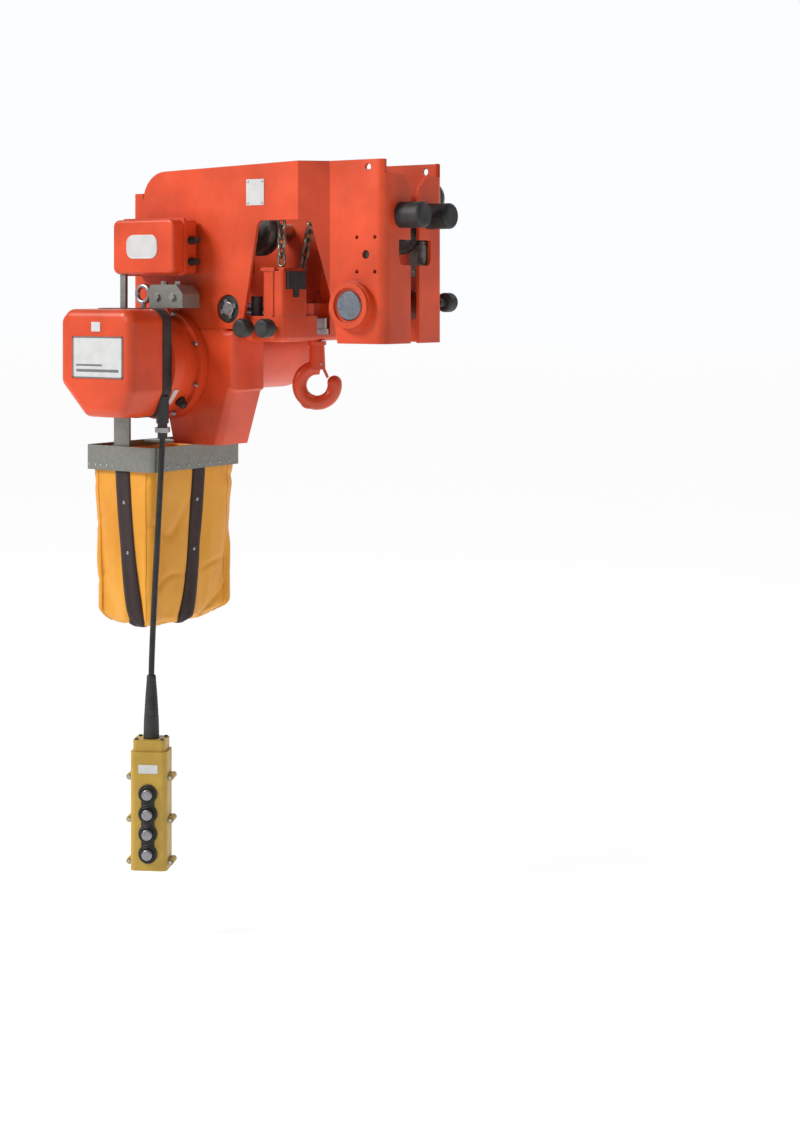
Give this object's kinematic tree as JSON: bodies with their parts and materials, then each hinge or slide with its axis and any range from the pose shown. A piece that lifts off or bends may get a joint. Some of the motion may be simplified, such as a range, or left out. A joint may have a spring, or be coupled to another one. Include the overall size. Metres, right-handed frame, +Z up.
{
  "type": "electric chain hoist",
  "caption": "Low-headroom electric chain hoist on a motor trolley, with a saddle hook block, swivel hook, chain bag and a hanging pendant control.",
  "frame": {"origin": "on the beam flange's running surface, in the plane of the beam's web, above the hook's swivel axis", "axes": "+X along the beam, towards the trolley's narrow end; +Z up; -Y towards the hoist's brake cover"},
  "size_m": [0.813, 0.6265, 1.551],
  "materials": {
    "orange_paint": "satin orange-red enamel",
    "hook_paint": "orange-red enamel on forged steel",
    "machined_steel": "turned steel",
    "wheel_steel": "turned and worn iron",
    "zinc_plate": "zinc-plated sheet",
    "rubber": "matt black rubber",
    "chain_steel": "galvanised chain",
    "motor_grey": "dark grey enamel",
    "bag_fabric": "coated yellow fabric",
    "strap_webbing": "dark webbing",
    "box_paint": "satin orange-red enamel",
    "pendant_plastic": "moulded mustard plastic",
    "black_plastic": "black moulded plastic",
    "button_caps": "silver grey caps",
    "cord_rubber": "black cable sheath",
    "label_plate": "blank etched plate"
  },
  "bodies": {
    "root": {"bag_frame": "zinc_plate", "bag_straps": "strap_webbing", "bolts_and_screws": "machined_steel", "brake_cover": "orange_paint", "bumpers": "rubber", "button_boots": "rubber", "cable_boot": "rubber", "cable_glands": "black_plastic", "chain_bag": "bag_fabric", "chain_runs": "chain_steel", "contact_block": "black_plastic", "control_box": "box_paint", "control_lid": "box_paint", "cover_gasket": "rubber", "eye_bolt": "machined_steel", "front_side_frame": "orange_paint", "gear_case": "orange_paint", "guide_roller_brackets": "zinc_plate", "motor_housing": "orange_paint", "motor_stator": "motor_grey", "pendant_back": "pendant_plastic", "pendant_cord": "cord_rubber", "pendant_front": "pendant_plastic", "rating_plates": "label_plate", "rear_housing": "orange_paint", "rear_side_frame": "orange_paint", "support_bracket": "zinc_plate", "tie_shafts": "machined_steel", "tow_stub": "rubber", "travel_gearbox": "orange_paint", "travel_motor": "motor_grey", "wheel_and_idler_axles": "machined_steel"},
    "hook_block": {"block_base": "orange_paint", "block_towers": "orange_paint", "block_buffers": "rubber", "chain_falls": "chain_steel", "hook_thrust_bearing": "machined_steel"},
    "hook": {"hook": "hook_paint", "hook_nut": "machined_steel", "latch_pin": "machined_steel"},
    "latch": {"hook_latch": "zinc_plate"},
    "lift_shaft": {"lift_shaft": "machined_steel", "lift_gear": "wheel_steel"},
    "rotor": {"motor_rotor": "machined_steel", "brake_disc": "wheel_steel"},
    "front_idler": {"front_idler_sheave": "wheel_steel"},
    "rear_idler": {"rear_idler_sheave": "wheel_steel"},
    "front_left_wheel": {"front_left_wheel": "wheel_steel"},
    "front_right_wheel": {"front_right_wheel": "wheel_steel"},
    "rear_left_wheel": {"rear_left_wheel": "wheel_steel"},
    "rear_right_wheel": {"rear_right_wheel": "wheel_steel"},
    "travel_pinion": {"travel_pinion": "machined_steel"},
    "front_left_roller": {"front_left_guide_roller": "wheel_steel"},
    "front_right_roller": {"front_right_guide_roller": "wheel_steel"},
    "rear_left_roller": {"rear_left_guide_roller": "wheel_steel"},
    "rear_right_roller": {"rear_right_guide_roller": "wheel_steel"},
    "button_up": {"button_up": "button_caps"},
    "button_down": {"button_down": "button_caps"},
    "button_left": {"button_left": "button_caps"},
    "button_right": {"button_right": "button_caps"}
  },
  "joints": [
    {"name": "hook_lift", "type": "slide", "parent": "root", "child": "hook_block", "axis": [0, 0, 1], "range_m": [-0.13, 0.04]},
    {"name": "hook_swivel", "type": "hinge", "parent": "hook_block", "child": "hook", "pos_m": [0, 0, -0.2], "axis": [0, 0, 1], "continuous": true},
    {"name": "latch_hinge", "type": "hinge", "parent": "hook", "child": "latch", "pos_m": [0.00719, 0.00542, -0.257], "axis": [-0.6018, 0.7986, 0], "range_deg": [0, 38], "stiffness_Nm_per_rad": 0.03, "springref_deg": -34.38},
    {"name": "lift_shaft_spin", "type": "hinge", "parent": "root", "child": "lift_shaft", "pos_m": [-0.222, 0, -0.22267], "axis": [0, 1, 0], "range_deg": [-170, 53]},
    {"name": "rotor_spin", "type": "hinge", "parent": "root", "child": "rotor", "pos_m": [-0.31, 0, -0.255], "axis": [0, 1, 0], "range_deg": [-210, 680]},
    {"name": "front_idler_spin", "type": "hinge", "parent": "root", "child": "front_idler", "pos_m": [-0.052, 0, 0.118], "axis": [0, 1, 0], "range_deg": [-56, 179]},
    {"name": "rear_idler_spin", "type": "hinge", "parent": "root", "child": "rear_idler", "pos_m": [-0.052, 0, 0.118], "axis": [0, 1, 0], "range_deg": [-56, 179]},
    {"name": "front_left_wheel_spin", "type": "hinge", "parent": "root", "child": "front_left_wheel", "pos_m": [-0.205, 0, 0.05], "axis": [0, 1, 0], "continuous": true},
    {"name": "front_right_wheel_spin", "type": "hinge", "parent": "root", "child": "front_right_wheel", "pos_m": [0.186, 0, 0.05], "axis": [0, 1, 0], "continuous": true},
    {"name": "rear_left_wheel_spin", "type": "hinge", "parent": "root", "child": "rear_left_wheel", "pos_m": [-0.205, 0, 0.05], "axis": [0, 1, 0], "continuous": true},
    {"name": "rear_right_wheel_spin", "type": "hinge", "parent": "root", "child": "rear_right_wheel", "pos_m": [0.186, 0, 0.05], "axis": [0, 1, 0], "continuous": true},
    {"name": "travel_pinion_spin", "type": "hinge", "parent": "root", "child": "travel_pinion", "pos_m": [0.15919, 0, 0.12367], "axis": [0, 1, 0], "continuous": true},
    {"name": "front_left_roller_spin", "type": "hinge", "parent": "root", "child": "front_left_roller", "pos_m": [-0.352, -0.0625, 0], "axis": [0, 0, 1], "continuous": true},
    {"name": "front_right_roller_spin", "type": "hinge", "parent": "root", "child": "front_right_roller", "pos_m": [0.247, -0.0625, 0], "axis": [0, 0, 1], "continuous": true},
    {"name": "rear_left_roller_spin", "type": "hinge", "parent": "root", "child": "rear_left_roller", "pos_m": [-0.352, 0.0625, 0], "axis": [0, 0, 1], "continuous": true},
    {"name": "rear_right_roller_spin", "type": "hinge", "parent": "root", "child": "rear_right_roller", "pos_m": [0.247, 0.0625, 0], "axis": [0, 0, 1], "continuous": true},
    {"name": "press_up", "type": "slide", "parent": "root", "child": "button_up", "axis": [-0.4695, 0.8829, 0], "range_m": [0, 0.003], "stiffness_N_per_m": 700, "springref_m": -0.002},
    {"name": "press_down", "type": "slide", "parent": "root", "child": "button_down", "axis": [-0.4695, 0.8829, 0], "range_m": [0, 0.003], "stiffness_N_per_m": 700, "springref_m": -0.002},
    {"name": "press_left", "type": "slide", "parent": "root", "child": "button_left", "axis": [-0.4695, 0.8829, 0], "range_m": [0, 0.003], "stiffness_N_per_m": 700, "springref_m": -0.002},
    {"name": "press_right", "type": "slide", "parent": "root", "child": "button_right", "axis": [-0.4695, 0.8829, 0], "range_m": [0, 0.003], "stiffness_N_per_m": 700, "springref_m": -0.002}
  ],
  "couplings": [
    {"joint": "front_idler_spin", "follows": "hook_lift", "rad_per_m": -23.81},
    {"joint": "rear_idler_spin", "follows": "hook_lift", "rad_per_m": -23.81},
    {"joint": "lift_shaft_spin", "follows": "hook_lift", "rad_per_m": 22.727},
    {"joint": "rotor_spin", "follows": "hook_lift", "rad_per_m": -90.909},
    {"joint": "travel_pinion_spin", "follows": "rear_right_wheel_spin", "ratio": -2.5}
  ]
}
